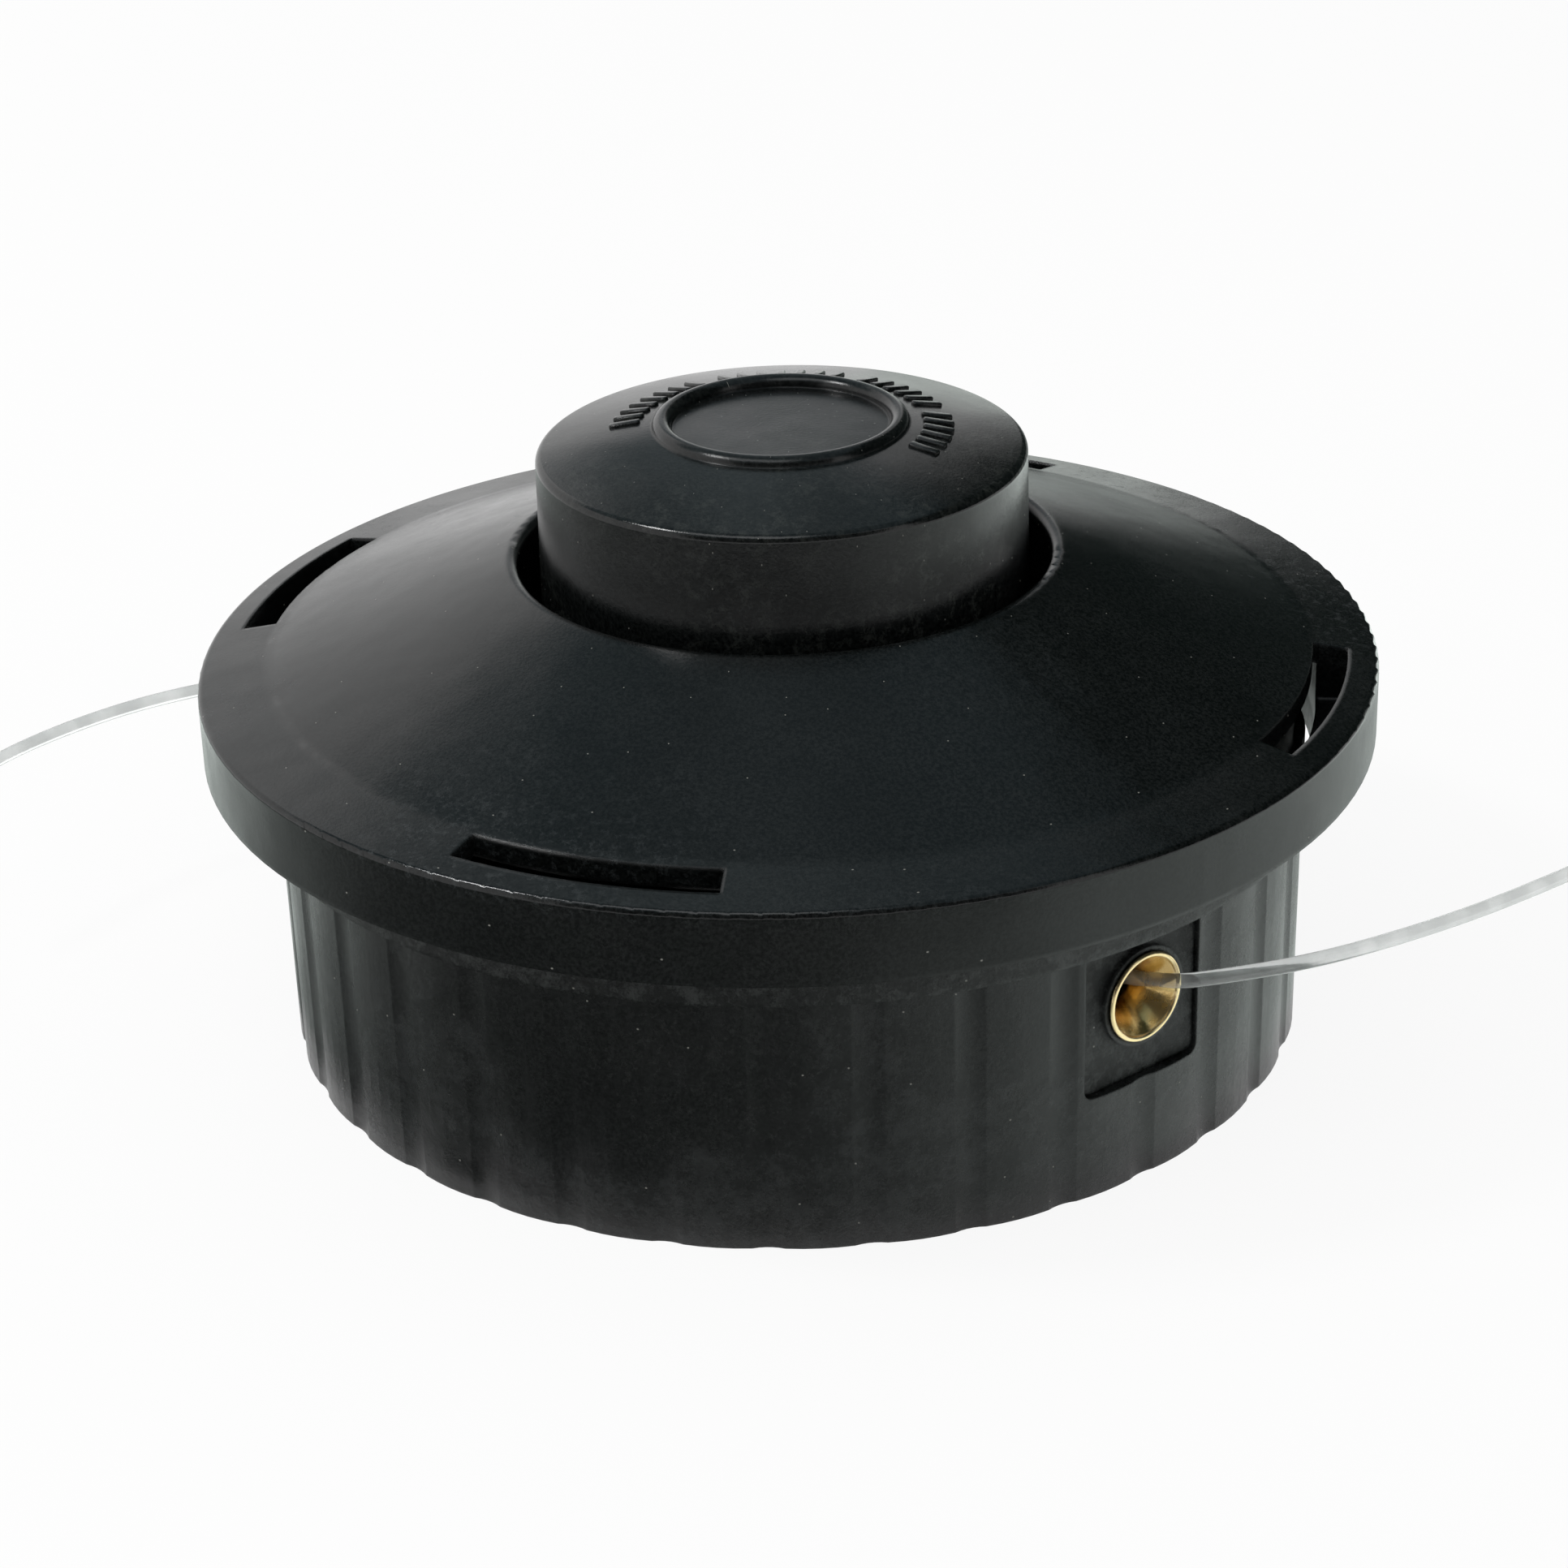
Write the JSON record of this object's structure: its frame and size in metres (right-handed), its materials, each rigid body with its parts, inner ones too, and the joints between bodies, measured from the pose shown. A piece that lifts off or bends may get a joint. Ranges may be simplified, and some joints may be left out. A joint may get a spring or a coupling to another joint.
{
  "type": "trimmer head",
  "caption": "Bump-feed trimmer head: lobed drum with hub nut, clip-on cone cover, sprung spool of nylon line, bump knob and line ends leaving brass eyelets.",
  "frame": {"origin": "centre of the drum's machine side, on the turning axis", "axes": "+Z along the turning axis from the machine side to the bump knob; the two line eyelets lie on the X axis"},
  "size_m": [0.148, 0.1434, 0.0696],
  "materials": {
    "black_nylon": "satin moulded, fine mottle",
    "knob_nylon": "satin moulded",
    "eyelet_brass": "turned, slightly dulled",
    "clear_line": "translucent, glossy",
    "zinc_steel": "zinc plated",
    "spring_steel": "bright drawn wire"
  },
  "bodies": {
    "housing": {"housing": "black_nylon", "cover": "black_nylon", "line_eyelet_right": "eyelet_brass", "line_eyelet_left": "eyelet_brass", "shaft_nut": "zinc_steel", "spring_foot_washer": "zinc_steel", "spring": "spring_steel", "line_end_right": "clear_line", "line_end_left": "clear_line"},
    "seat": {"spring_seat": "zinc_steel"},
    "spool": {"spool": "black_nylon", "bump_knob": "knob_nylon", "knob_screw": "zinc_steel", "knob_screw_washer": "zinc_steel", "winding_upper": "clear_line", "winding_lower": "clear_line"}
  },
  "joints": [
    {"name": "bump", "type": "slide", "parent": "housing", "child": "seat", "axis": [0, 0, 1], "range_m": [-0.0055, 0], "stiffness_N_per_m": 3000, "springref_m": 0.008, "deforming": ["spring"]},
    {"name": "spool_turn", "type": "hinge", "parent": "seat", "child": "spool", "pos_m": [0, 0, 0], "axis": [0, 0, 1], "range_deg": [0, 15]}
  ],
  "couplings": [
    {"joint": "spool_turn", "follows": "bump", "rad_per_m": -47.59}
  ]
}
